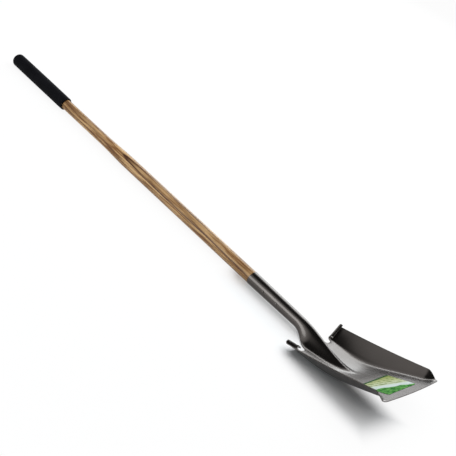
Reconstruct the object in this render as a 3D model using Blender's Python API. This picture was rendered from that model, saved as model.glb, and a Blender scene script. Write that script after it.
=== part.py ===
"""A square-point shovel: a steel stamping on a long ash handle with a cushion grip.

The blade is drawn with the front of its floor level: +Y is the digging direction, +X the user's right hand
and +Z the side that carries the load. Lengths along the blade and along the handle start at the step line,
the back edge of the blade that the foot presses on. At the end the whole tool is laid down on the ground.
Units are metres and radians.
"""

import math

import bmesh
import bpy
from mathutils import Matrix, Vector

# Blade seen from above
BLADE_LENGTH = 0.302
REAR_WIDTH = 0.241
FRONT_WIDTH = 0.250
SIDE_SWELL = 0.0015
FRONT_BOW = 0.006
CORNER_RADIUS = 0.008
SHEET = 0.002

# Side walls: heights of the rim above the level floor
RIM_REAR = 0.066
RIM_FRONT = 0.022
RIM_SAG = 0.003
NOSE_LENGTH = 0.022
NOSE_MARGIN = 0.012
FLARE_REAR = math.radians(61.5)
FLARE_FRONT = math.radians(44.0)
FOLD_TANGENT = 0.012

# Floor: it climbs to the heel at the back and is slightly dished behind the flat front
HEEL_RISE = 0.041
HEEL_LENGTH = 0.175
DISH_DEPTH = 0.005
DISH_LENGTH = 0.190

# Frog: the hollow ridge that carries the socket's load into the floor
FROG_LENGTH = 0.135
FROG_WIDTH = 0.092
FROG_TIP_WIDTH = 0.016
FROG_HEIGHT = 0.036
FROG_FALL = math.radians(36.0)
CREST_RADIUS_REAR = 0.009
CREST_RADIUS_TIP = 0.0035
FOOT_FILLET = 0.45
FRONT_SPREAD = 0.15

# Turned steps, with a relief notch between each step and the frog
STEP_RADIUS = 0.0043
STEP_TURN = math.radians(235.0)
NOTCH_WIDTH = 0.0245
NOTCH_DEPTH = 0.008

# Socket: a rolled tube with an open seam at the back
HANDLE_LIFT = math.radians(26.4)
AXIS_HEIGHT = 0.0214
SOCKET_LENGTH = 0.241
NECK_LENGTH = 0.062
SOCKET_TOP_RADIUS = 0.0189
SOCKET_NECK_RADIUS = 0.0172
SEAM_GAP = 0.005

# Rivets through socket and handle
RIVET_FROM_TOP = 0.056
RIVET_PITCH = 0.051
RIVET_SHANK_RADIUS = 0.0028
RIVET_HEAD_RADIUS = 0.0052
RIVET_HEAD_HEIGHT = 0.0018

# Ash handle
HANDLE_END = 1.293
WOOD_RADIUS = 0.0182
WOOD_END_RADIUS = 0.0152
TAPER_FROM_GRIP = 0.297
TAPER_LENGTH = 0.118
WOOD_CHAMFER = 0.003
WOOD_BURY = 0.006

# Cushion grip
GRIP_LENGTH = 0.251
GRIP_RADIUS = 0.0196
GRIP_CAP = 0.012
GRIP_DOME = 0.014
GRIP_LIP = 0.002

# Sticker on the floor of the blade
LABEL_WIDTH = 0.126
LABEL_LENGTH = 0.084
LABEL_CORNER = 0.005
LABEL_THICKNESS = 0.0003
LABEL_OFFSET = 0.012
LABEL_FROM_FRONT = 0.028

# Clearance between pieces that touch, and between a rivet and its hole
GAP = 0.0003

# Fineness of the meshes
SPINE_COLUMNS = 14
NOTCH_COLUMNS = 6
FLOOR_COLUMNS = 3
FOLD_COLUMNS = 5
WALL_COLUMNS = 4
HEEL_ROWS = 13
FLAT_ROWS = 4
NOSE_ROWS = 8
NECK_ROWS = 10
SOCKET_ROW = 0.030
STEP_ROWS = 9
ROUND_STEPS = 32
RIVET_STEPS = 16


# Small helpers

def clear_scene():
    for obj in list(bpy.data.objects):
        bpy.data.objects.remove(obj, do_unlink=True)


def smooth(t):
    t = min(max(t, 0.0), 1.0)
    return t * t * (3.0 - 2.0 * t)


def mix(a, b, t):
    return a + (b - a) * t


def bezier(points, t):
    """A point on the Bezier curve of any number of control points."""
    while len(points) > 1:
        points = [a.lerp(b, t) for a, b in zip(points, points[1:])]
    return points[0]


def hermite(start, start_slope, end, end_slope, t):
    """Cubic from start to end with the slopes given per unit of t."""
    a = 2 * t ** 3 - 3 * t ** 2 + 1
    b = t ** 3 - 2 * t ** 2 + t
    c = -2 * t ** 3 + 3 * t ** 2
    d = t ** 3 - t ** 2
    return start * a + start_slope * b + end * c + end_slope * d


def make_material(name, colour, roughness, metallic):
    material = bpy.data.materials.new(name)
    material.use_nodes = True
    shader = material.node_tree.nodes["Principled BSDF"]
    shader.inputs["Base Color"].default_value = (*colour, 1.0)
    shader.inputs["Roughness"].default_value = roughness
    shader.inputs["Metallic"].default_value = metallic
    return material


def make_object(name, bm, material, parent):
    mesh = bpy.data.meshes.new(name)
    bm.to_mesh(mesh)
    bm.free()
    obj = bpy.data.objects.new(name, mesh)
    bpy.context.scene.collection.objects.link(obj)
    obj.parent = parent
    if material:
        mesh.materials.append(material)
    return obj


def make_empty(name, parent=None):
    empty = bpy.data.objects.new(name, None)
    bpy.context.scene.collection.objects.link(empty)
    empty.parent = parent
    return empty


def lathe(profile, steps):
    """A body of revolution about local Z from (radius, height) points that start and end on the axis."""
    bm = bmesh.new()
    verts = [bm.verts.new((radius, 0.0, height)) for radius, height in profile]
    edges = [bm.edges.new(pair) for pair in zip(verts, verts[1:])]
    bmesh.ops.spin(bm, geom=verts + edges, cent=(0, 0, 0), axis=(0, 0, 1), angle=math.tau,
                   steps=steps, use_merge=True)
    bmesh.ops.remove_doubles(bm, verts=bm.verts, dist=1e-6)
    bmesh.ops.recalc_face_normals(bm, faces=bm.faces)
    return bm


def loft(bm, rows):
    """Quads between neighbouring rows of vertices."""
    for row, following in zip(rows, rows[1:]):
        for a, b, c, d in zip(row, row[1:], following[1:], following):
            bm.faces.new((a, b, c, d))


def bake(obj, sharp_angle=35.0):
    """Replace an object's mesh by its modified one, shaded smooth up to the sharp angle."""
    bpy.context.view_layer.update()
    evaluated = obj.evaluated_get(bpy.context.evaluated_depsgraph_get())
    mesh = bpy.data.meshes.new_from_object(evaluated)
    mesh.name = obj.name
    obj.modifiers.clear()
    obj.data = mesh
    mesh.shade_smooth()
    mesh.set_sharp_from_angle(angle=math.radians(sharp_angle))


def cut(obj, cutter):
    modifier = obj.modifiers.new("hole", "BOOLEAN")
    modifier.operation = "DIFFERENCE"
    modifier.solver = "EXACT"
    modifier.object = cutter


# Shape of the blade: plan, heights and sections

def rim_half_width(y):
    """The sides open out from the heel to the front, with a slight swell between."""
    t = y / BLADE_LENGTH
    return (mix(REAR_WIDTH, FRONT_WIDTH, t) + SIDE_SWELL * 4 * t * (1 - t)) / 2


def front_edge(x):
    """Distance of the front edge from the step line at x: a slight bow, then a round corner."""
    half = FRONT_WIDTH / 2
    y = BLADE_LENGTH - FRONT_BOW * (x / half) ** 2
    past = x - (half - CORNER_RADIUS)
    if past > 0:
        y -= CORNER_RADIUS - math.sqrt(max(CORNER_RADIUS ** 2 - past ** 2, 0.0))
    return y


def rim_height(y):
    """The rim falls from the heel to the nose with a slight sag, then runs out to the front corner."""
    end = front_edge(FRONT_WIDTH / 2)
    start = end - NOSE_LENGTH
    t = min(y / start, 1.0)
    height = mix(RIM_REAR, RIM_FRONT, t) - RIM_SAG * 4 * t * (1 - t)
    if y > start:
        run = min((y - start) / (end - start), 1.0)
        height *= 1 - run ** 1.5
    return height


def floor_height(y):
    climb = max(HEEL_LENGTH - y, 0.0) / HEEL_LENGTH
    return HEEL_RISE * climb ** 2


def heel_share(y):
    """How much of the heel's slack shape is left at y: all at the step line, little further on."""
    return (1.0 - y / BLADE_LENGTH) ** 5


def fold_half_width(y):
    """Where floor and wall would meet without their round fold; at the heel they run into each other."""
    wall = rim_height(y) - floor_height(y)
    flare = mix(FLARE_FRONT, FLARE_REAR, heel_share(y))
    return rim_half_width(y) - max(wall * math.tan(flare), NOSE_MARGIN)


def fold_tangent(y):
    """Length of the fold on floor and wall; beside the notch there is little room for it."""
    wall = math.hypot(rim_half_width(y) - fold_half_width(y), rim_height(y) - floor_height(y))
    room = fold_half_width(y) - frog_half_width(y) - NOTCH_WIDTH
    return min(FOLD_TANGENT, 0.45 * wall, max(0.4 * room, SHEET))


def floor_point_height(x, y):
    """The floor at x, y, with its shallow dish between the folds."""
    dish = 0.0
    if 0.0 < y < DISH_LENGTH:
        across = max(1 - (x / fold_half_width(y)) ** 2, 0.0)
        dish = DISH_DEPTH * math.sin(math.pi * y / DISH_LENGTH) ** 2 * across
    return floor_height(y) - dish


def frog_half_width(y):
    if y < FROG_LENGTH:
        return mix(FROG_WIDTH, FROG_TIP_WIDTH, y / FROG_LENGTH) / 2
    return FROG_TIP_WIDTH / 2 + (y - FROG_LENGTH) * FRONT_SPREAD


def crest_height(y):
    """The frog's crest falls steeply from the step line and meets the floor tangentially at its tip."""
    tip = floor_point_height(0.0, FROG_LENGTH)
    step = 0.001
    tip_slope = (floor_point_height(0.0, FROG_LENGTH + step) - tip) / step
    start = HEEL_RISE + FROG_HEIGHT
    return hermite(start, -math.tan(FROG_FALL) * FROG_LENGTH, tip, tip_slope * FROG_LENGTH, y / FROG_LENGTH)


def frog_section(y, t):
    """Across the frog from crest (t=0) to foot (t=1): distance from the middle and drop below the crest."""
    half = frog_half_width(y)
    drop = max(crest_height(y) - floor_point_height(half, y), 0.0)
    crest_radius = mix(CREST_RADIUS_REAR, CREST_RADIUS_TIP, smooth(y / FROG_LENGTH * 2))
    crest_reach = min(math.sqrt(crest_radius * drop / 1.5), half * 0.5)
    foot_reach = half * (1 - FOOT_FILLET)
    points = [Vector((0, 0)), Vector((crest_reach, 0)), Vector((foot_reach, drop)), Vector((half, drop))]
    return bezier(points, t)


def spine_point(y, t):
    """A point of the blade between its middle line (t=0) and the foot of the frog (t=1)."""
    if y >= FROG_LENGTH:
        x = frog_half_width(y) * t
        return Vector((x, y, floor_point_height(x, y)))
    across = frog_section(y, t)
    return Vector((across.x, y, crest_height(y) - across.y))


def wing_point(y, column):
    """A point of the floor, fold or side wall; column counts outwards from the foot of the frog."""
    foot = frog_half_width(y)
    fold = fold_half_width(y)
    base = floor_height(y)
    rim = Vector((rim_half_width(y), max(rim_height(y), base)))
    corner = Vector((fold, base))
    tangent = fold_tangent(y)
    floor_end = fold - tangent
    wall_start = corner + (rim - corner).normalized() * tangent
    floor_columns = NOTCH_COLUMNS + FLOOR_COLUMNS
    if column <= floor_columns:
        x = mix(foot, floor_end, floor_fraction(y, column))
        return Vector((x, y, floor_point_height(x, y)))
    if column <= floor_columns + FOLD_COLUMNS:
        t = (column - floor_columns) / FOLD_COLUMNS
        start = Vector((floor_end, floor_point_height(floor_end, y)))
        at = bezier([start, corner, wall_start], t)
    else:
        t = (column - floor_columns - FOLD_COLUMNS) / WALL_COLUMNS
        at = wall_start.lerp(rim, t)
    return Vector((at.x, y, at.y))


def floor_fraction(y, column):
    """At the heel the columns bunch at both sides of the notch; further on they spread evenly."""
    even = column / (NOTCH_COLUMNS + FLOOR_COLUMNS)
    span = fold_half_width(0.0) - fold_tangent(0.0) - FROG_WIDTH / 2
    notch = min(NOTCH_WIDTH / span, 0.9)
    if column <= NOTCH_COLUMNS:
        bunched = notch * (1 - math.cos(math.pi * column / NOTCH_COLUMNS)) / 2
    else:
        bunched = mix(notch, 1.0, (column - NOTCH_COLUMNS) / FLOOR_COLUMNS)
    return mix(even, bunched, heel_share(y))


def notch_cut(column):
    """How far the back edge is cut forward at a column."""
    if column >= NOTCH_COLUMNS:
        return 0.0
    return NOTCH_DEPTH * math.sin(math.pi * column / NOTCH_COLUMNS)


# Shape of the neck and socket

def axis_start():
    return Vector((0.0, 0.0, HEEL_RISE + AXIS_HEIGHT))


def axis_direction():
    return Vector((0.0, -math.cos(HANDLE_LIFT), math.sin(HANDLE_LIFT)))


def axis_normal():
    return Vector((0.0, math.sin(HANDLE_LIFT), math.cos(HANDLE_LIFT)))


def socket_radius(distance):
    """Outer radius of the socket at a distance from the step line along the handle."""
    t = (distance - NECK_LENGTH) / (SOCKET_LENGTH - NECK_LENGTH)
    return mix(SOCKET_NECK_RADIUS, SOCKET_TOP_RADIUS, min(max(t, 0.0), 1.0))


def tube_section(radius, t):
    """Round the tube from its crest (t=0) to the edge of the seam (t=1), as distance and drop."""
    angle = t * (math.pi - math.asin(SEAM_GAP / 2 / radius))
    return Vector((radius * math.sin(angle), radius * (1 - math.cos(angle))))


def tube_point(distance, t):
    radius = socket_radius(distance)
    across = tube_section(radius, t)
    crest = axis_start() + axis_direction() * distance + axis_normal() * radius
    return crest - axis_normal() * across.y + Vector((across.x, 0.0, 0.0))


def neck_point(along, t):
    """Between the step line (along=0) and the tube (along=1) the section unrolls from tube to frog."""
    start = Vector((0.0, 0.0, crest_height(0.0)))
    end = tube_point(NECK_LENGTH, 0.0)
    reach = (end - start).length
    leave = Vector((0.0, -math.cos(FROG_FALL), math.sin(FROG_FALL))) * reach
    crest = hermite(start, leave, end, axis_direction() * reach, along)
    lean = HANDLE_LIFT * smooth(along)
    down = Vector((0.0, -math.sin(lean), -math.cos(lean)))
    across = frog_section(0.0, t).lerp(tube_section(SOCKET_NECK_RADIUS, t), smooth(along))
    return crest + down * across.y + Vector((across.x, 0.0, 0.0))


# The stamping

def blade_stations():
    """Rows of the blade as fractions of its length: close at the heel and at the nose."""
    flat_end = BLADE_LENGTH - 2 * NOSE_LENGTH
    rows = [HEEL_LENGTH * i / HEEL_ROWS for i in range(HEEL_ROWS)]
    rows += [mix(HEEL_LENGTH, flat_end, i / FLAT_ROWS) for i in range(FLAT_ROWS)]
    rows += [mix(flat_end, BLADE_LENGTH, i / NOSE_ROWS) for i in range(NOSE_ROWS + 1)]
    return [y / BLADE_LENGTH for y in rows]


def socket_stations():
    """Rows of the tube beyond the neck, close on both sides of each rivet to keep its hole's facets there."""
    margin = 1.3 * RIVET_HEAD_RADIUS
    marks = [NECK_LENGTH]
    for distance in sorted(rivet_distances().values()):
        marks += [distance - margin, distance + margin]
    marks.append(SOCKET_LENGTH)
    rows = []
    for start, end in zip(marks, marks[1:]):
        count = max(1, round((end - start) / SOCKET_ROW))
        rows += [mix(start, end, (i + 1) / count) for i in range(count)]
    return rows


def spine_columns():
    return [i / SPINE_COLUMNS for i in range(SPINE_COLUMNS + 1)]


def blade_row(station):
    """One row of points from the middle line out to the rim."""
    points = []
    for t in spine_columns():
        front = front_edge(spine_point(BLADE_LENGTH, t).x)
        points.append(spine_point(front * station, t))
    last = NOTCH_COLUMNS + FLOOR_COLUMNS + FOLD_COLUMNS + WALL_COLUMNS
    for column in range(1, last + 1):
        front = front_edge(wing_point(BLADE_LENGTH, column).x)
        y = front * station + notch_cut(column) * (1 - station) ** 4
        points.append(wing_point(y, column))
    return points


def step_rows(first, second):
    """The back edge rolled up and forward; first and second are the blade's two rearmost rows."""
    rows = [[] for _ in range(STEP_ROWS)]
    for i, (edge, inside) in enumerate(zip(first, second)):
        back = Vector((0.0, edge.y - inside.y, edge.z - inside.z)).normalized()
        along = first[min(i + 1, len(first) - 1)] - first[max(i - 1, 0)]
        up = along.cross(-back).normalized()
        for row in range(STEP_ROWS):
            angle = STEP_TURN * (row + 1) / STEP_ROWS
            lift = STEP_RADIUS * (1 - math.cos(angle))
            rows[row].append(edge + up * lift + back * STEP_RADIUS * math.sin(angle))
    return rows


def stamping_surface():
    """The face side of the right half of the stamping as one lofted sheet."""
    bm = bmesh.new()
    blade = [[bm.verts.new(point) for point in blade_row(station)] for station in blade_stations()]
    loft(bm, blade)
    step_start = SPINE_COLUMNS + NOTCH_COLUMNS
    first = [vert.co.copy() for vert in blade[0][step_start:]]
    second = [vert.co.copy() for vert in blade[1][step_start:]]
    roll = [[bm.verts.new(point) for point in row] for row in step_rows(first, second)]
    loft(bm, roll[::-1] + [blade[0][step_start:]])
    neck = [blade[0][:SPINE_COLUMNS + 1]]
    for i in range(1, NECK_ROWS + 1):
        neck.append([bm.verts.new(neck_point(i / NECK_ROWS, t)) for t in spine_columns()])
    for distance in socket_stations():
        neck.append([bm.verts.new(tube_point(distance, t)) for t in spine_columns()])
    loft(bm, neck[::-1])
    for row in blade + neck:
        row[0].co.x = 0.0
    return bm


def make_stamping(material, parent, hole_cutters):
    obj = make_object("blade_and_socket", stamping_surface(), material, parent)
    mirror = obj.modifiers.new("other half", "MIRROR")
    mirror.use_axis = (True, False, False)
    mirror.merge_threshold = 0.00001
    solid = obj.modifiers.new("sheet", "SOLIDIFY")
    solid.thickness = SHEET
    solid.offset = -1.0
    solid.use_even_offset = True
    for cutter in hole_cutters:
        cut(obj, cutter)
    bake(obj)
    return obj


# Handle, grip and rivets, drawn along local Z with the step line at zero

def make_handle(material, parent, hole_cutters):
    """The ash handle: turned down inside the socket, full outside it, slimmer under the grip."""
    foot = NECK_LENGTH + WOOD_BURY
    foot_radius = socket_radius(foot) - SHEET - GAP
    top_radius = SOCKET_TOP_RADIUS - SHEET - GAP
    shoulder = SOCKET_LENGTH + GAP
    taper = HANDLE_END - GRIP_LENGTH + GRIP_CAP - TAPER_FROM_GRIP
    profile = [(0.0, foot), (foot_radius - WOOD_CHAMFER, foot), (foot_radius, foot + WOOD_CHAMFER)]
    profile += [(top_radius, shoulder), (WOOD_RADIUS - WOOD_CHAMFER / 6, shoulder)]
    profile += [(WOOD_RADIUS, shoulder + WOOD_CHAMFER / 6)]
    for i in range(9):
        radius = mix(WOOD_RADIUS, WOOD_END_RADIUS, smooth(i / 8))
        profile.append((radius, taper + TAPER_LENGTH * i / 8))
    profile += [(WOOD_END_RADIUS, HANDLE_END - WOOD_CHAMFER), (WOOD_END_RADIUS - WOOD_CHAMFER, HANDLE_END)]
    profile.append((0.0, HANDLE_END))
    obj = make_object("ash_handle", lathe(profile, ROUND_STEPS), material, parent)
    for cutter in hole_cutters:
        cut(obj, cutter)
    bake(obj)
    return obj


def make_grip(material, parent):
    """A soft sleeve with a rounded lip below and a domed, closed end."""
    end = HANDLE_END + GRIP_CAP
    start = end - GRIP_LENGTH
    bore = WOOD_END_RADIUS + GAP
    lip = min(GRIP_LIP, (GRIP_RADIUS - bore) / 2)
    profile = [(0.0, HANDLE_END + GAP), (bore, HANDLE_END + GAP), (bore, start)]
    for i in range(5):
        angle = math.pi / 2 * i / 4
        profile.append((GRIP_RADIUS - lip + lip * math.sin(angle), start + lip - lip * math.cos(angle)))
    for i in range(8):
        angle = math.pi / 2 * i / 7
        profile.append((GRIP_RADIUS * math.cos(angle), end - GRIP_DOME + GRIP_DOME * math.sin(angle)))
    profile[-1] = (0.0, end)
    obj = make_object("cushion_grip", lathe(profile, ROUND_STEPS), material, parent)
    bake(obj)
    return obj


def rivet_distances():
    upper = SOCKET_LENGTH - RIVET_FROM_TOP
    return {"upper": upper, "lower": upper - RIVET_PITCH}


def across_handle(distance):
    """Places a piece drawn along its own Z across the handle, at a distance from the step line."""
    return Matrix.Translation((0.0, 0.0, distance)) @ Matrix.Rotation(math.pi / 2, 4, "Y")


def make_rivet(name, distance, material, parent):
    """A rivet with a low domed head on each side of the socket."""
    seat = socket_radius(distance) + GAP
    profile = [(RIVET_SHANK_RADIUS, seat), (RIVET_HEAD_RADIUS, seat)]
    for i in range(5):
        angle = math.pi / 2 * i / 4
        height = seat + RIVET_HEAD_HEIGHT * (0.25 + 0.75 * math.sin(angle))
        profile.append((RIVET_HEAD_RADIUS * math.cos(angle), height))
    profile[-1] = (0.0, seat + RIVET_HEAD_HEIGHT)
    other_side = [(radius, -height) for radius, height in profile]
    obj = make_object(name, lathe(profile[::-1] + other_side, RIVET_STEPS), material, parent)
    obj.matrix_local = across_handle(distance)
    bake(obj)
    return obj


def make_hole_cutter(name, distance, parent):
    """The hole that a rivet passes through: a plain drill, longer than the socket is wide."""
    radius = RIVET_SHANK_RADIUS + GAP
    half = socket_radius(distance) * 1.5
    bm = bmesh.new()
    bmesh.ops.create_cone(bm, cap_ends=True, segments=RIVET_STEPS, radius1=radius, radius2=radius,
                          depth=2 * half)
    obj = make_object(name, bm, None, parent)
    obj.matrix_local = across_handle(distance)
    obj.hide_render = True
    obj.display_type = "WIRE"
    return obj


# The sticker

def make_label(material, parent):
    """A thin rectangle with round corners, just clear of the flat of the floor."""
    bm = bmesh.new()
    centre = Vector((LABEL_OFFSET, BLADE_LENGTH - LABEL_FROM_FRONT - LABEL_LENGTH / 2, GAP + LABEL_THICKNESS))
    corners = []
    for turn in range(4):
        angle = math.pi / 2 * turn
        side_x = 1 if turn in (0, 3) else -1
        side_y = 1 if turn in (0, 1) else -1
        reach = Vector((LABEL_WIDTH / 2 - LABEL_CORNER, LABEL_LENGTH / 2 - LABEL_CORNER, 0))
        at = centre + Vector((side_x * reach.x, side_y * reach.y, 0))
        for i in range(5):
            bend = angle + math.pi / 2 * i / 4
            corners.append(bm.verts.new(at + Vector((math.cos(bend), math.sin(bend), 0)) * LABEL_CORNER))
    bm.faces.new(corners)
    obj = make_object("label", bm, material, parent)
    solid = obj.modifiers.new("foil", "SOLIDIFY")
    solid.thickness = LABEL_THICKNESS
    solid.offset = -1.0
    bake(obj)
    return obj


# Laying the tool down

def world_points(objects):
    bpy.context.view_layer.update()
    return [obj.matrix_world @ vert.co for obj in objects for vert in obj.data.vertices]


def lowest(points, tilt):
    sine, cosine = math.sin(tilt), math.cos(tilt)
    return min(point.y * sine + point.z * cosine for point in points)


def lay_down(root, blade, grip, everything):
    """Tips the tool back until heel and grip both touch the ground, then centres it over the origin."""
    blade_points = world_points([blade])
    grip_points = world_points([grip])
    low, high = 0.0, math.radians(80.0)
    for _ in range(50):
        tilt = (low + high) / 2
        if lowest(blade_points, tilt) < lowest(grip_points, tilt):
            low = tilt
        else:
            high = tilt
    root.rotation_euler = (tilt, 0.0, 0.0)
    points = world_points(everything)
    middle_y = (min(point.y for point in points) + max(point.y for point in points)) / 2
    root.location = (0.0, -middle_y, -min(point.z for point in points))


def build():
    clear_scene()
    lacquer = make_material("grey lacquered steel", (0.115, 0.112, 0.105), 0.32, 0.75)
    wood = make_material("clear-coated ash", (0.50, 0.31, 0.16), 0.45, 0.0)
    foam = make_material("black foam", (0.012, 0.012, 0.013), 0.75, 0.0)
    steel = make_material("rivet steel", (0.20, 0.195, 0.185), 0.35, 0.9)
    paper = make_material("printed sticker", (0.55, 0.68, 0.28), 0.4, 0.0)

    shovel = make_empty("shovel")
    handle_axis = make_empty("handle_axis", shovel)
    handle_axis.location = axis_start()
    handle_axis.rotation_euler = (math.pi / 2 - HANDLE_LIFT, 0.0, 0.0)

    cutters = []
    for place, distance in rivet_distances().items():
        cutters.append(make_hole_cutter("drill_" + place, distance, handle_axis))
    bpy.context.view_layer.update()

    blade = make_stamping(lacquer, shovel, cutters)
    handle = make_handle(wood, handle_axis, cutters)
    grip = make_grip(foam, handle_axis)
    pieces = [blade, handle, grip, make_label(paper, shovel)]
    for place, distance in rivet_distances().items():
        pieces.append(make_rivet("rivet_" + place, distance, steel, handle_axis))
    lay_down(shovel, blade, grip, pieces)


build()
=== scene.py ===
# %% [markdown]
# # A square shovel, from bare solids to a finished picture
#
# The solids of the shovel are already drawn to size elsewhere: blade with frog and socket, ash
# handle, cushion grip, two rivets and a sticker. This notebook gives them their finish and
# photographs them. It loads the solids as a fixed frame, so nothing has to be placed by eye.
# Positions are in metres: +Y runs along the ground from grip to blade, +Z is up, and the origin is
# on the ground at the middle.

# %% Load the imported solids
import math

import bmesh
import bpy
from mathutils import Matrix, Vector


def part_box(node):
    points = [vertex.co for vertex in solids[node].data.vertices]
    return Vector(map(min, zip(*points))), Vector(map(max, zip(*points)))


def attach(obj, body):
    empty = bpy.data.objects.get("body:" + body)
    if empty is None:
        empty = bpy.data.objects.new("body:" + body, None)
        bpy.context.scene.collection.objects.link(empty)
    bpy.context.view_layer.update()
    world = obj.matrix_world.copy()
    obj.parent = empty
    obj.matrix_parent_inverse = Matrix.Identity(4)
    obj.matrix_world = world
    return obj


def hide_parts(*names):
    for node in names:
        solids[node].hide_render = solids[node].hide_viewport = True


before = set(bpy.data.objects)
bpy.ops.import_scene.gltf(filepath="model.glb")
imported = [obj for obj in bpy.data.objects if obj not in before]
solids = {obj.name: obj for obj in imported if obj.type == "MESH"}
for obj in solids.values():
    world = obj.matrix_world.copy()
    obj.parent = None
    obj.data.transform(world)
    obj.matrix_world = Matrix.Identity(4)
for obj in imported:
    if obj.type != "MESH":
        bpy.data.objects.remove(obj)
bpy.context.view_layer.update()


print("solids:", sorted(solids))

# %% [markdown]
# ## The camera
#
# The picture was taken from the front right with a long lens, and the tool runs across it from
# corner to corner. A camera could be aimed with a constraint and then rolled by hand. Here its
# direction is given by three plain angles instead, because each of them can be checked against the
# photograph by itself: how far round the camera stands, how far above the ground, and how far it is
# rolled about its own axis. The Standard view transform shows each colour as it is worked out, so
# the lacquer keeps its deep blacks.

# %% Camera
CAMERA_PLACE = Vector((2.5940, 1.6270, 1.5894))
CAMERA_AZIMUTH = math.radians(30.043)
CAMERA_ELEVATION = math.radians(26.696)
CAMERA_ROLL = math.radians(28.042)
LENS_MM = 99.57
SENSOR_MM = 36.0


def aimed_camera():
    """A camera whose own right, up and backward directions are worked out from the three angles."""
    backward = Vector((math.cos(CAMERA_AZIMUTH) * math.cos(CAMERA_ELEVATION),
                       math.sin(CAMERA_AZIMUTH) * math.cos(CAMERA_ELEVATION),
                       math.sin(CAMERA_ELEVATION)))
    level_right = Vector((-math.sin(CAMERA_AZIMUTH), math.cos(CAMERA_AZIMUTH), 0.0))
    level_up = backward.cross(level_right)
    right = level_right * math.cos(CAMERA_ROLL) + level_up * math.sin(CAMERA_ROLL)
    up = backward.cross(right)
    lens = bpy.data.cameras.new("long_lens")
    lens.lens = LENS_MM
    lens.sensor_width = SENSOR_MM
    camera = bpy.data.objects.new("camera", lens)
    turn = Matrix((right, up, backward)).transposed().to_4x4()
    camera.matrix_world = Matrix.Translation(CAMERA_PLACE) @ turn
    bpy.context.scene.collection.objects.link(camera)
    return camera


bpy.context.scene.camera = aimed_camera()
bpy.context.scene.view_settings.view_transform = "Standard"
print("camera stands", round(CAMERA_PLACE.length, 2), "m from the middle of the tool")

# %% [markdown]
# ## Helpers for nodes
#
# Every surface from here on is a small tree of nodes, mostly a Principled BSDF with a few
# procedural textures in front of it. Such a tree can be wired by hand in the shader editor. In a
# script every node would then take several lines, so the helpers below make a node with its inputs
# already given: as plain values, as colours, or as the output of another node. Each finish then
# reads like a list of what feeds what.

# %% Node helpers

def give(tree, node, inputs):
    """Give each named input a plain value, a colour, or the output of another node."""
    for key, value in inputs.items():
        target = node.inputs[key]
        if isinstance(value, bpy.types.NodeSocket):
            tree.links.new(value, target)
        elif target.type == "RGBA":
            target.default_value = (*value, 1.0)
        else:
            target.default_value = value


def add_node(tree, kind, inputs=None, **settings):
    node = tree.nodes.new(kind)
    for key, value in settings.items():
        setattr(node, key, value)
    give(tree, node, inputs or {})
    return node


def new_finish(name):
    """A new material, its node tree and its Principled BSDF."""
    material = bpy.data.materials.new(name)
    material.use_nodes = True
    return material, material.node_tree, material.node_tree.nodes["Principled BSDF"]


print("node helpers:", give.__name__, add_node.__name__, new_finish.__name__)

# %% [markdown]
# Five more helpers cover what the trees do most often: ask where on the object a point lies, split
# a position into its three parts, work out a sum, carry a value over from one range to another, and
# read a colour off a ramp.

# %% Places, sums, ranges and ramps

def object_place(tree):
    """Where a point of the surface lies, in metres, in the object's own space."""
    return add_node(tree, "ShaderNodeTexCoord").outputs["Object"]


def split(tree, vector):
    """The X, Y and Z of a vector."""
    return add_node(tree, "ShaderNodeSeparateXYZ", {"Vector": vector}).outputs[:]


def arithmetic(tree, operation, *values, **settings):
    """The result of a Math node; each value is a number or an output."""
    inputs = dict(enumerate(values))
    return add_node(tree, "ShaderNodeMath", inputs, operation=operation, **settings).outputs[0]


def mapped(tree, value, source, target, **settings):
    """A value carried over from the source range to the target range, and held at its ends."""
    inputs = {"Value": value, "From Min": source[0], "From Max": source[1],
              "To Min": target[0], "To Max": target[1]}
    return add_node(tree, "ShaderNodeMapRange", inputs, **settings).outputs["Result"]


def colour_ramp(tree, factor, stops):
    """A colour read off (position, colour) stops; a plain number stands for a grey."""
    node = add_node(tree, "ShaderNodeValToRGB", {0: factor})
    elements = node.color_ramp.elements
    while len(elements) < len(stops):
        elements.new(0.5)
    for element, (position, colour) in zip(elements, stops):
        shade = colour if isinstance(colour, tuple) else (colour, colour, colour)
        element.position = position
        element.color = (*shade, 1.0)
    return node.outputs["Color"]


print("more helpers:", object_place.__name__, split.__name__, arithmetic.__name__, mapped.__name__,
      colour_ramp.__name__)

# %% [markdown]
# ## The studio
#
# Glossy dark lacquer shows what stands around it more than its own colour. In the photograph the
# floor of the blade is pale, the socket has a light streak beside a black one, and whatever tips
# towards the ceiling is black. So there is white paper all round, something bright behind the tool
# and at its right hand, and nothing overhead that the lacquer can mirror. A picture of a studio
# wrapped round the scene could do this too. A paper, a room that darkens upwards and four lamps are
# easier to understand and to change.

# %% Ground sheet
GROUND_SIZE = 40.0


def ground_sheet():
    half = GROUND_SIZE / 2
    corners = [(-half, -half, 0), (half, -half, 0), (half, half, 0), (-half, half, 0)]
    mesh = bpy.data.meshes.new("ground")
    mesh.from_pydata(corners, [], [(0, 1, 2, 3)])
    sheet = bpy.data.objects.new("ground", mesh)
    bpy.context.scene.collection.objects.link(sheet)
    return sheet


ground = ground_sheet()
print("ground sheet", GROUND_SIZE, "m square")

# %% [markdown]
# The paper is matt and nearly white. Lit by the lamps alone, its far parts would come out grey, so
# it also shines by itself, but not everywhere. On a strip under the near side of blade and socket
# it doesn't shine at all: there the shadow stays dark, and the outside of the wall has something
# dark to mirror, as in the photograph. How far a place lies outside that strip is worked out for
# each direction of the ground, and the larger of the two counts.

# %% Shaded strip
SHADE_MIDDLE = (0.075, 0.51)
SHADE_HALF = (0.035, 0.252)
GLOW = 0.9
GLOW_REACH = 0.08


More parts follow.
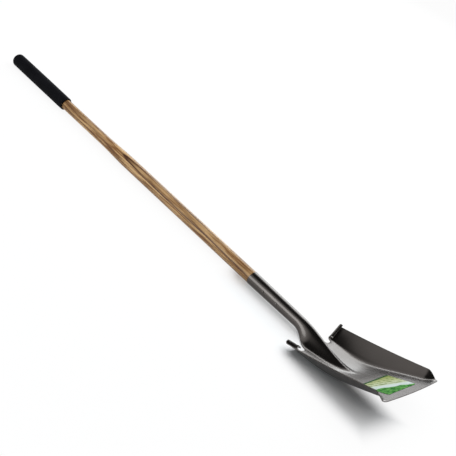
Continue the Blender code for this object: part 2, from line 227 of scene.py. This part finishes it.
def beyond_shade(tree):
    """Metres that a place on the ground lies outside the shaded strip."""
    outside = []
    for part, middle, half in zip(split(tree, object_place(tree)), SHADE_MIDDLE, SHADE_HALF):
        off_middle = arithmetic(tree, "ABSOLUTE", arithmetic(tree, "SUBTRACT", part, middle))
        outside.append(arithmetic(tree, "SUBTRACT", off_middle, half))
    return arithmetic(tree, "MAXIMUM", *outside)


def glow_by_distance(tree):
    """The paper's share of own light: none on the strip, and all of it a little way outside."""
    distance = beyond_shade(tree)
    return mapped(tree, distance, (0.0, GLOW_REACH), (0.0, GLOW), interpolation_type="SMOOTHSTEP")


print("shaded strip", [round(2 * half, 3) for half in SHADE_HALF], "m, glow outside", GLOW)

# %% [markdown]
# A paper that shines would also light the tool from below. It therefore shines only for whoever
# looks at it: the camera directly, or by way of a mirroring or clear surface, which is what these
# three outputs of the Light Path node tell apart.

# %% Ground paper
PAPER_WHITE = 0.96


def looked_at(tree):
    """1 where the camera, a mirroring or a clear surface looks; 0 where light is gathered."""
    ray = add_node(tree, "ShaderNodeLightPath")
    seen = ray.outputs["Is Camera Ray"]
    for other in ("Is Glossy Ray", "Is Transmission Ray"):
        seen = arithmetic(tree, "ADD", seen, ray.outputs[other], use_clamp=True)
    return seen


def ground_paper():
    material, tree, paper = new_finish("ground_paper")
    give(tree, paper, {"Base Color": (PAPER_WHITE, PAPER_WHITE, PAPER_WHITE),
                       "Roughness": 1.0, "Specular IOR Level": 0.0})
    share = arithmetic(tree, "MULTIPLY", looked_at(tree), glow_by_distance(tree))
    white = add_node(tree, "ShaderNodeEmission")
    lit = add_node(tree, "ShaderNodeMixShader",
                   {0: share, 1: paper.outputs[0], 2: white.outputs[0]})
    give(tree, tree.nodes["Material Output"], {"Surface": lit.outputs[0]})
    return material


ground.data.materials.append(ground_paper())
print("the ground wears", ground.data.materials[0].name)

# %% [markdown]
# The room is brightest at the level of the ground and dark overhead. The world's colour is
# therefore a ramp over the height of the direction looked in: 0 is level with the ground, 1
# straight up. It is only there to be mirrored. Matt surfaces take their light from the lamps alone,
# because light that comes in level with the ground would creep under the blade and wash its shadow
# out.

# %% Room light
ROOM_RAMP = [(0.0, 1.10), (0.5, 1.0), (0.68, 0.92), (0.78, 0.58), (0.86, 0.04)]


def room_light():
    world = bpy.data.worlds.new("room")
    world.use_nodes = True
    tree = world.node_tree
    direction = add_node(tree, "ShaderNodeTexCoord").outputs["Generated"]
    height = split(tree, direction)[2]
    give(tree, tree.nodes["Background"], {"Color": colour_ramp(tree, height, ROOM_RAMP)})
    bpy.context.scene.world = world  # in use first: Cycles updates it when its visibility is set
    world.cycles_visibility.diffuse = False
    return world


print(room_light().name, "as (height, brightness):", ROOM_RAMP)

# %% [markdown]
# The light on the matt surfaces comes from overhead. A large panel above the tool could give it,
# but would fade towards the edges of the ground. A sun reaches the whole ground evenly, and with a
# wide disc its shadows are soft. It is kept out of reflections, which is a box that can be ticked
# on any lamp.

# %% Overhead light
OVERHEAD_STRENGTH = 2.3
OVERHEAD_DISC = math.radians(90.0)


def overhead_light():
    data = bpy.data.lights.new("overhead_light", "SUN")
    data.energy = OVERHEAD_STRENGTH
    data.angle = OVERHEAD_DISC
    lamp = bpy.data.objects.new("overhead_light", data)
    lamp.visible_glossy = False
    bpy.context.scene.collection.objects.link(lamp)
    return lamp


print(overhead_light().name, "of strength", OVERHEAD_STRENGTH)

# %% [markdown]
# Three panels are there to be mirrored, and are very slightly cool beside the warm lacquer. The low
# wide one behind the tool lies in the blade's floor, the one at its right hand draws the streak
# along the socket, and the high one behind draws the thin pale edge on the socket's far side.
# Bright planes could stand there instead, but a lamp can be hidden from the camera and still be
# mirrored.

# %% Panels
PANEL_AIM = Vector((0.0, 0.5, 0.1))
PANEL_TINT = (0.94, 1.0, 1.035)
PANELS = {  # place, width and height, brightness
    "back_panel": ((-2.9, -0.7, 1.35), (3.6, 1.45), 3.3),
    "side_panel": ((3.0, -0.8, 0.95), (1.8, 1.9), 2.8),
    "top_panel": ((-2.0, 0.4, 2.1), (3.0, 1.0), 2.2),
}


def panel_lamp(name, place, size, brightness):
    """A rectangular lamp that faces the blade; brightness is what a camera reads off its face."""
    data = bpy.data.lights.new(name, "AREA")
    data.shape = "RECTANGLE"
    data.size, data.size_y = size
    data.energy = brightness * math.pi * size[0] * size[1]
    data.color = PANEL_TINT
    lamp = bpy.data.objects.new(name, data)
    lamp.location = place
    lamp.rotation_euler = (PANEL_AIM - Vector(place)).to_track_quat("-Z", "Y").to_euler()
    lamp.visible_camera = False
    bpy.context.scene.collection.objects.link(lamp)
    return lamp


for name, (place, size, brightness) in PANELS.items():
    print(panel_lamp(name, place, size, brightness).name, "at", place)

# %% [markdown]
# ## Shared effect: surface unevenness
#
# No real surface is perfectly even. Sprayed lacquer has a faint orange peel, foam a closed skin
# with tiny dimples, and wood and ink differ a little from place to place. Each finish could have
# noise nodes of its own. But all of these are one idea, fine lumps plus broad patches, so they
# share one node group, and each material places it with its own scales. A scale is how many lumps
# or patches fit in a metre.

# %% Unevenness group
NOISE_LAYERS = {  # output: input for its scale, detail, roughness
    "Lumps": ("Lump Scale", 2.0, 0.5),
    "Patches": ("Patch Scale", 1.0, 0.4),
}


def unevenness_group():
    tree = bpy.data.node_groups.new("surface unevenness", "ShaderNodeTree")
    tree.interface.new_socket("Vector", in_out="INPUT", socket_type="NodeSocketVector")
    for layer, (scale, _, _) in NOISE_LAYERS.items():
        tree.interface.new_socket(scale, in_out="INPUT", socket_type="NodeSocketFloat")
        tree.interface.new_socket(layer, in_out="OUTPUT", socket_type="NodeSocketFloat")
    given = add_node(tree, "NodeGroupInput").outputs
    result = add_node(tree, "NodeGroupOutput")
    for layer, (scale, detail, roughness) in NOISE_LAYERS.items():
        noise = add_node(tree, "ShaderNodeTexNoise",
                         {"Vector": given["Vector"], "Scale": given[scale],
                          "Detail": detail, "Roughness": roughness})
        give(tree, result, {layer: noise.outputs["Fac"]})
    return tree


UNEVENNESS = unevenness_group()
print("group:", UNEVENNESS.name, "with", len(UNEVENNESS.nodes), "nodes")

# %% [markdown]
# A finish uses the group in two ways: the patches shift its tint between two neighbouring colours,
# and the lumps raise and sink its surface a little. Either of them may change its roughness too.
# Noise seldom leaves its middle range, so a tint that is spread over that range alone uses both its
# colours.

# %% Placing the unevenness
PATCH_SPREAD = (0.3, 0.7)


def place_unevenness(tree, place, scales):
    inputs = {"Vector": place, **scales}
    return add_node(tree, "ShaderNodeGroup", inputs, node_tree=UNEVENNESS).outputs


def tinted(tree, patches, dark, light):
    """A colour that drifts between two neighbouring ones."""
    return colour_ramp(tree, patches, list(zip(PATCH_SPREAD, (dark, light))))


def bumped(tree, height, strength, depth):
    """Normals that follow a height; the depth is in metres."""
    inputs = {"Strength": strength, "Distance": depth, "Height": height}
    return add_node(tree, "ShaderNodeBump", inputs).outputs["Normal"]


print("tints spread over", PATCH_SPREAD)

# %% [markdown]
# ## Smooth shading for the solids
#
# The solids arrive as loose triangles, each with its own flat shading. Their meshes could be
# edited, but the frame must stay as it was loaded. A Geometry Nodes modifier leaves it alone and
# changes only what is drawn: it merges the points, drops the stored flat normals, and marks an edge
# as crisp wherever its two faces meet at a clear angle. Pressed curves then look smooth and cut
# edges stay sharp.

# %% Soft shading group
WELD_DISTANCE = 0.00002
CRISP_ANGLE = math.radians(38.0)


def soft_shading_group():
    tree = bpy.data.node_groups.new("soft shading", "GeometryNodeTree")
    tree.is_modifier = True
    for in_out in ("INPUT", "OUTPUT"):
        tree.interface.new_socket("Geometry", in_out=in_out, socket_type="NodeSocketGeometry")
    given = add_node(tree, "NodeGroupInput")
    merged = add_node(tree, "GeometryNodeMergeByDistance",
                      {"Geometry": given.outputs["Geometry"], "Distance": WELD_DISTANCE})
    angle = add_node(tree, "GeometryNodeInputMeshEdgeAngle")
    crisp = add_node(tree, "FunctionNodeCompare",
                     {0: angle.outputs["Unsigned Angle"], 1: CRISP_ANGLE},
                     data_type="FLOAT", operation="GREATER_THAN")
    smooth = add_node(tree, "GeometryNodeSetMeshNormal",
                      {"Mesh": merged.outputs["Geometry"], "Remove Custom": True,
                       "Edge Sharpness": crisp.outputs["Result"], "Face Sharpness": False})
    add_node(tree, "NodeGroupOutput", {"Geometry": smooth.outputs["Mesh"]})
    return tree


SOFT_SHADING = soft_shading_group()
for solid in solids.values():
    solid.modifiers.new("soft shading", "NODES").node_group = SOFT_SHADING
print("smooth:", len(solids), "solids, crisp above", round(math.degrees(CRISP_ANGLE)), "degrees")

# %% [markdown]
# ## Lacquered steel
#
# Blade, frog and socket are one pressing, dipped in a dark grey lacquer with metal flake in it.
# Dark paint alone would reflect too little when seen square on, and bare steel too much. A metallic
# base of low brightness lies between the two, and its reflection grows towards white at a glancing
# angle, as on the real blade. A thin clear coat on top sharpens the highlights.

# %% Lacquer
LACQUER_SCALES = {"Lump Scale": 420.0, "Patch Scale": 14.0}
LACQUER_DARK = (0.079, 0.071, 0.066)
LACQUER_LIGHT = (0.099, 0.089, 0.083)
LACQUER_ROUGHNESS = (0.20, 0.28)
COAT_WEIGHT = 0.12
COAT_ROUGHNESS = 0.10
PEEL_STRENGTH = 0.08
PEEL_DEPTH = 0.0002


def lacquered_steel():
    material, tree, shader = new_finish("lacquered_steel")
    uneven = place_unevenness(tree, object_place(tree), LACQUER_SCALES)
    give(tree, shader, {
        "Metallic": 1.0,
        "Base Color": tinted(tree, uneven["Patches"], LACQUER_DARK, LACQUER_LIGHT),
        "Roughness": mapped(tree, uneven["Patches"], (0.0, 1.0), LACQUER_ROUGHNESS),
        "Coat Weight": COAT_WEIGHT,
        "Coat Roughness": COAT_ROUGHNESS,
        "Normal": bumped(tree, uneven["Lumps"], PEEL_STRENGTH, PEEL_DEPTH)})
    return material


def dress(solid, material):
    for slot in solid.material_slots:
        slot.material = material
    print(solid.name, "wears", material.name)


LACQUER = lacquered_steel()
for name in ("blade_and_socket", "rivet_upper", "rivet_lower"):
    dress(solids[name], LACQUER)

# %% [markdown]
# ## Ash
#
# The handle is split from an ash log and turned. Its grain is the log's growth rings, cut
# lengthwise: long parallel lines on two sides and pointed arches on the two between. Painting lines
# along the handle would give only the first. Here the rings are computed as they grew, round a pith
# that lies beside the handle and leans a little against it, and the turned surface simply cuts
# through them.

# %% Distance from the pith
HANDLE_HEIGHT = sum(corner.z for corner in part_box("ash_handle")) / 2
PITH_X = -0.040
PITH_Z = HANDLE_HEIGHT - 0.055
PITH_LEAN = 0.012


def pith_distance(tree, place):
    """How far a place lies from the pith, which sinks slowly towards the blade."""
    x, y, z = split(tree, place)
    across = arithmetic(tree, "SUBTRACT", x, PITH_X)
    sunk = arithmetic(tree, "MULTIPLY_ADD", y, PITH_LEAN, -PITH_Z)
    above = arithmetic(tree, "ADD", z, sunk)
    from_pith = add_node(tree, "ShaderNodeCombineXYZ", {"X": across, "Z": above}).outputs["Vector"]
    length = add_node(tree, "ShaderNodeVectorMath", {0: from_pith}, operation="LENGTH")
    return length.outputs["Value"]


print("pith at", (PITH_X, round(PITH_Z, 4)), "and leaning by", PITH_LEAN)

# %% [markdown]
# A log isn't perfectly round, so a slow noise, stretched along the handle, pushes each ring in and
# out: the drift. Years differ too, so each ring draws a random number from its own count, which
# later makes one line stand out and leaves its neighbours faint.

# %% Growth rings
RING_WIDTH = 0.0062
DRIFT_SCALE = (6.0, 1.3, 6.0)
DRIFT_PLACE = (0.0, 11.0, 0.0)
DRIFT_REACH = 0.018


def stretched_noise(tree, place, scale, start, detail, roughness):
    """Noise with a scale of its own in each direction: a low one stretches it."""
    space = add_node(tree, "ShaderNodeMapping",
                     {"Vector": place, "Scale": scale, "Location": start})
    noise = add_node(tree, "ShaderNodeTexNoise",
                     {"Vector": space.outputs["Vector"], "Scale": 1.0,
                      "Detail": detail, "Roughness": roughness})
    return noise.outputs["Fac"]


def growth_rings(tree, place):
    """Place within the ring (0 to 1) and the ring's own random number."""
    drift = stretched_noise(tree, place, DRIFT_SCALE, DRIFT_PLACE, detail=2.0, roughness=0.5)
    grown = arithmetic(tree, "MULTIPLY_ADD", drift, DRIFT_REACH, pith_distance(tree, place))
    count = arithmetic(tree, "DIVIDE", grown, RING_WIDTH)
    random = add_node(tree, "ShaderNodeTexWhiteNoise", {"W": arithmetic(tree, "FLOOR", count)},
                      noise_dimensions="1D")
    return arithmetic(tree, "FRACT", count), random.outputs["Value"]


print("a ring every", 1000 * RING_WIDTH, "mm, drifting by up to", 1000 * DRIFT_REACH, "mm")

# %% [markdown]
# A ring starts in spring with wide dark pores and ends in pale summer wood. The line below is dark
# at the spring end and fades outwards, and the ring's random number says how dark it may get.

# %% Ring colours
SUMMER_DARK = (0.44, 0.262, 0.107)
SUMMER_LIGHT = (0.67, 0.430, 0.204)
SPRING_WOOD = (0.100, 0.038, 0.010)
LINE_STOPS = [(0.0, 1.0), (0.10, 1.0), (0.24, 0.30), (0.55, 0.10), (0.90, 0.0), (0.97, 0.7),
              (1.0, 1.0)]
YEAR_RANDOM = (0.30, 0.75)
YEAR_DARKNESS = (0.12, 1.0)


def mixed(tree, mask, below, above, blend_type="MIX"):
    """One colour where the mask is 0 and the other where it is 1."""
    node = add_node(tree, "ShaderNodeMix", {"Factor": mask, "A": below, "B": above},
                    data_type="RGBA", blend_type=blend_type)
    return node.outputs["Result"]


def ring_colour(tree, place, patches):
    within, random = growth_rings(tree, place)
    darkness = mapped(tree, random, YEAR_RANDOM, YEAR_DARKNESS)
    line = arithmetic(tree, "MULTIPLY", colour_ramp(tree, within, LINE_STOPS), darkness)
    return mixed(tree, line, tinted(tree, patches, SUMMER_DARK, SUMMER_LIGHT), SPRING_WOOD)


print("summer wood", SUMMER_LIGHT, "spring line", SPRING_WOOD)

# %% [markdown]
# Over the rings run the fibres and the pores between them. They are much longer than wide, so their
# noise is stretched along the handle. Only its low values darken the wood: most of the surface
# stays clear and long dark dashes remain. The varnish is thin. It gives a low sheen and doesn't
# fill the pores, which is why the same fibres also feed the roughness and a slight bump.

# %% Ash finish
ASH_SCALES = {"Patch Scale": 9.0}
FIBRE_SCALE = (300.0, 8.0, 300.0)
PORE_STOPS = [(0.44, (0.38, 0.27, 0.17)), (0.56, 1.0)]
ASH_ROUGHNESS = (0.55, 0.42)
ASH_SPECULAR = 0.10
VARNISH_WEIGHT = 0.4
VARNISH_ROUGHNESS = 0.3
FIBRE_STRENGTH = 0.25
FIBRE_DEPTH = 0.0002


def clear_coated_ash():
    material, tree, shader = new_finish("clear_coated_ash")
    place = object_place(tree)
    uneven = place_unevenness(tree, place, ASH_SCALES)
    fibre = stretched_noise(tree, place, FIBRE_SCALE, (0.0, 0.0, 0.0), detail=3.0, roughness=0.6)
    rings = ring_colour(tree, place, uneven["Patches"])
    give(tree, shader, {
        "Base Color": mixed(tree, 1.0, rings, colour_ramp(tree, fibre, PORE_STOPS), "MULTIPLY"),
        "Roughness": mapped(tree, fibre, (0.0, 1.0), ASH_ROUGHNESS),
        "Specular IOR Level": ASH_SPECULAR,
        "Coat Weight": VARNISH_WEIGHT,
        "Coat Roughness": VARNISH_ROUGHNESS,
        "Normal": bumped(tree, fibre, FIBRE_STRENGTH, FIBRE_DEPTH)})
    return material


print("coarsest fibres about", round(1000 / FIBRE_SCALE[0], 1), "mm wide and",
      round(1000 / FIBRE_SCALE[1]), "mm long")
dress(solids["ash_handle"], clear_coated_ash())

# %% [markdown]
# ## Cushion grip
#
# The grip is a sleeve of closed-cell foam, pushed on wet and held by its own squeeze. The solid
# stands for it in the collision model; what shows is drawn again here with the soft edges that foam
# has: a rolled lip at the open end, a full dome at the closed one, and a wall that swells very
# slightly between. A cylinder with a bevel would be quicker, but lip and dome would then be alike.
# So one half of its section is drawn as a row of points, which starts just inside the lip and ends
# on the axis.

# %% Profile of the grip
LIP = 0.0026
LIP_STEPS = 8
INNER_LIP = 1.2  # how far inside the section starts, in lips
DOME = 0.015
DOME_STEPS = 12
SWELL = 0.0003
SIDE_STEPS = 14


def foam_profile(radius, bore, length):
    """(radius, distance) points from the open lip, over the dome, to the axis."""
    points = [(bore, LIP * INNER_LIP)]
    middle, half = (radius + bore) / 2, (radius - bore) / 2
    for i in range(LIP_STEPS + 1):
        turn = math.pi * i / LIP_STEPS
        points.append((middle - half * math.cos(turn), LIP - LIP * math.sin(turn)))
    for i in range(1, SIDE_STEPS):
        t = i / SIDE_STEPS
        swollen = radius + SWELL * math.sin(math.pi * t) ** 0.5
        points.append((swollen, LIP + (length - DOME - LIP) * t))
    for i in range(DOME_STEPS):
        turn = math.pi / 2 * i / DOME_STEPS
        points.append((radius * math.cos(turn), length - DOME + DOME * math.sin(turn)))
    return points + [(0.0, length)]


print("lip", 1000 * LIP, "mm, dome", 1000 * DOME, "mm, swell", 1000 * SWELL, "mm")

# %% [markdown]
# The profile is turned about its axis with bmesh's spin tool, at the place and to the size of the
# solid's own box. Spin leaves a heap of points where the profile meets the axis, and these are
# merged into one.

# %% Foam sleeve
SLEEVE_STEPS = 64
FOAM_WALL = 0.0036
SAME_POINT = 1e-6


def foam_sleeve():
    low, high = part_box("cushion_grip")
    radius = (high.x - low.x) / 2 - SWELL
    profile = foam_profile(radius, radius - FOAM_WALL, high.y - low.y)
    turned = bmesh.new()
    verts = [turned.verts.new((across, -along, 0.0)) for across, along in profile]
    edges = [turned.edges.new(pair) for pair in zip(verts, verts[1:])]
    bmesh.ops.spin(turned, geom=verts + edges, cent=(0, 0, 0), axis=(0, 1, 0), angle=math.tau,
                   steps=SLEEVE_STEPS, use_merge=True)
    bmesh.ops.remove_doubles(turned, verts=turned.verts, dist=SAME_POINT)
    bmesh.ops.recalc_face_normals(turned, faces=turned.faces)
    mesh = bpy.data.meshes.new("foam_sleeve")
    turned.to_mesh(mesh)
    turned.free()
    mesh.shade_smooth()
    piece = bpy.data.objects.new("foam_sleeve", mesh)
    piece.location = (0.0, high.y, (low.z + high.z) / 2)
    bpy.context.scene.collection.objects.link(piece)
    return piece


sleeve = foam_sleeve()
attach(sleeve, "root")
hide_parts("cushion_grip")
print("foam sleeve:", len(sleeve.data.polygons), "faces,", round(sleeve.dimensions.y, 4), "m long")

# %% [markdown]
# Foam is the blackest thing in the picture, and it is still not one flat colour: a closed skin has
# dimples about a millimetre apart, which also break up its sheen, and handling leaves slightly
# lighter patches on it. Real holes would be lost at this size, so a bump stands for the dimples.

# %% Black foam
FOAM_SCALES = {"Lump Scale": 900.0, "Patch Scale": 30.0}
FOAM_DARK = (0.0024, 0.0024, 0.0032)
FOAM_LIGHT = (0.0050, 0.0050, 0.0064)
FOAM_ROUGHNESS = (0.62, 0.80)
FOAM_SPECULAR = 0.05
DIMPLE_STRENGTH = 0.35
DIMPLE_DEPTH = 0.0003


def black_foam():
    material, tree, shader = new_finish("black_foam")
    uneven = place_unevenness(tree, object_place(tree), FOAM_SCALES)
    give(tree, shader, {
        "Base Color": tinted(tree, uneven["Patches"], FOAM_DARK, FOAM_LIGHT),
        "Roughness": mapped(tree, uneven["Lumps"], (0.0, 1.0), FOAM_ROUGHNESS),
        "Specular IOR Level": FOAM_SPECULAR,
        "Normal": bumped(tree, uneven["Lumps"], DIMPLE_STRENGTH, DIMPLE_DEPTH)})
    return material


sleeve.data.materials.append(black_foam())
print(sleeve.name, "wears", sleeve.data.materials[0].name)

# %% [markdown]
# ## Sticker
#
# A new shovel carries a printed sticker on the floor of its blade. Here it is made of fields of
# colour alone, of the kind and size that such stickers have. An image would do, but such fields are
# easily drawn by arithmetic, and then they stay sharp at any distance. The blade's floor is tilted,
# so the pattern's space is first turned until the sticker lies flat in it; where it lies is
# measured on the solid.

# %% Place of the sticker

def sticker_place():
    """Centre, tilt, width and length of the sticker, measured on its own solid."""
    largest = max(solids["label"].data.polygons, key=lambda face: face.area)
    upward = largest.normal if largest.normal.z > 0 else -largest.normal
    low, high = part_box("label")
    tilt = math.atan2(-upward.y, upward.z)
    return (low + high) / 2, tilt, high.x - low.x, (high.y - low.y) / math.cos(tilt)


STICKER_CENTRE, STICKER_TILT, STICKER_WIDTH, STICKER_LENGTH = sticker_place()
print("sticker", round(1000 * STICKER_WIDTH), "x", round(1000 * STICKER_LENGTH), "mm, tilted by",
      round(math.degrees(STICKER_TILT), 2), "degrees")

# %% [markdown]
# Two directions are enough for the design: along the sticker from its rear edge to its front edge,
# -0.5 to 0.5, and a slanted one that mixes in some of the width, so that most borders run at an
# angle.

# %% Directions on the sticker
SLANT = 0.45


def sticker_directions(tree, place):
    """How far along the sticker a place lies, and how far along the slanted direction."""
    centred = add_node(tree, "ShaderNodeVectorMath", {0: place, 1: tuple(STICKER_CENTRE)},
                       operation="SUBTRACT")
    flat = add_node(tree, "ShaderNodeMapping",
                    {"Vector": centred.outputs["Vector"], "Rotation": (-STICKER_TILT, 0.0, 0.0)})
    scaled = add_node(tree, "ShaderNodeMapping",
                      {"Vector": flat.outputs["Vector"],
                       "Scale": (1 / STICKER_WIDTH, 1 / STICKER_LENGTH, 1.0)})
    across, along, _ = split(tree, scaled.outputs["Vector"])
    return along, arithmetic(tree, "MULTIPLY_ADD", across, SLANT, along)


print("slanted borders take in", SLANT, "of the width")

# %% [markdown]
# The rear field is a yellow-green that pales towards the middle, with soft ruled lines in it. A
# Wave texture draws the lines, and the lumps of the shared unevenness break them up, as thin ink
# does on film. Each field is laid on with a mask, which is 0 before its border and 1 past it. A
# border is given as a threshold and how soft the change is on either side.

# %% Rear field
MEADOW = [(0.0, (0.230, 0.262, 0.065)), (0.4, (0.420, 0.460, 0.240)), (1.0, (0.57, 0.63, 0.51))]
MEADOW_BORDER = (-0.22, 0.38)
RULED_INK = (0.150, 0.215, 0.060)
RULING = 2.4
RULED_BORDER = (0.60, 0.15)
BREAK_BORDER = (0.46, 0.10)


def field_mask(tree, value, border):
    threshold, softness = border
    return mapped(tree, value, (threshold - softness, threshold + softness), (0.0, 1.0))


def ruled_meadow(tree, slanted, lumps):
    meadow = colour_ramp(tree, field_mask(tree, slanted, MEADOW_BORDER), MEADOW)
    spread = add_node(tree, "ShaderNodeCombineXYZ", {"X": slanted}).outputs["Vector"]
    waves = add_node(tree, "ShaderNodeTexWave", {"Vector": spread, "Scale": RULING},
                     bands_direction="X")
    lines = field_mask(tree, waves.outputs["Fac"], RULED_BORDER)
    broken = arithmetic(tree, "MULTIPLY", lines, field_mask(tree, lumps, BREAK_BORDER))
    return mixed(tree, broken, meadow, RULED_INK)


print("rear field from", MEADOW[0][1], "to", MEADOW[-1][1])

# %% [markdown]
# In front of a pale band lies a saturated green field. Its border waves, because broad patches are
# added to the slanted direction before that is compared with the threshold.

# %% Front field
LEAF = [(0.42, (0.010, 0.120, 0.010)), (0.62, (0.110, 0.330, 0.070))]
LEAF_BORDER = (0.20, 0.008)
LEAF_WAVE = 0.16


def leaf_field(tree, slanted, uneven, below):
    wave = arithmetic(tree, "MULTIPLY_ADD", uneven["Patches"], LEAF_WAVE, -LEAF_WAVE / 2)
    mask = field_mask(tree, arithmetic(tree, "ADD", slanted, wave), LEAF_BORDER)
    return mixed(tree, mask, below, colour_ramp(tree, uneven["Lumps"], LEAF))


print("front field from", LEAF[0][1], "to", LEAF[-1][1])

# %% [markdown]
# A dark green edge at the rear finishes the design. The film is matt, so its colours stay full
# where the steel round it already shines.

# %% Printed sticker
STICKER_SCALES = {"Lump Scale": 130.0, "Patch Scale": 24.0}
PALE_BAND = (0.54, 0.62, 0.59)
PALE_BORDER = (0.02, 0.03)
REAR_EDGE = (0.01, 0.055, 0.01)
EDGE_BORDER = (-0.435, 0.006)
FILM_ROUGHNESS = 0.7
FILM_SPECULAR = 0.06


def printed_sticker():
    material, tree, shader = new_finish("printed_sticker")
    place = object_place(tree)
    along, slanted = sticker_directions(tree, place)
    uneven = place_unevenness(tree, place, STICKER_SCALES)
    rear = ruled_meadow(tree, slanted, uneven["Lumps"])
    banded = mixed(tree, field_mask(tree, slanted, PALE_BORDER), rear, PALE_BAND)
    fields = leaf_field(tree, slanted, uneven, banded)
    give(tree, shader, {
        "Base Color": mixed(tree, field_mask(tree, along, EDGE_BORDER), REAR_EDGE, fields),
        "Roughness": FILM_ROUGHNESS,
        "Specular IOR Level": FILM_SPECULAR})
    return material


dress(solids["label"], printed_sticker())
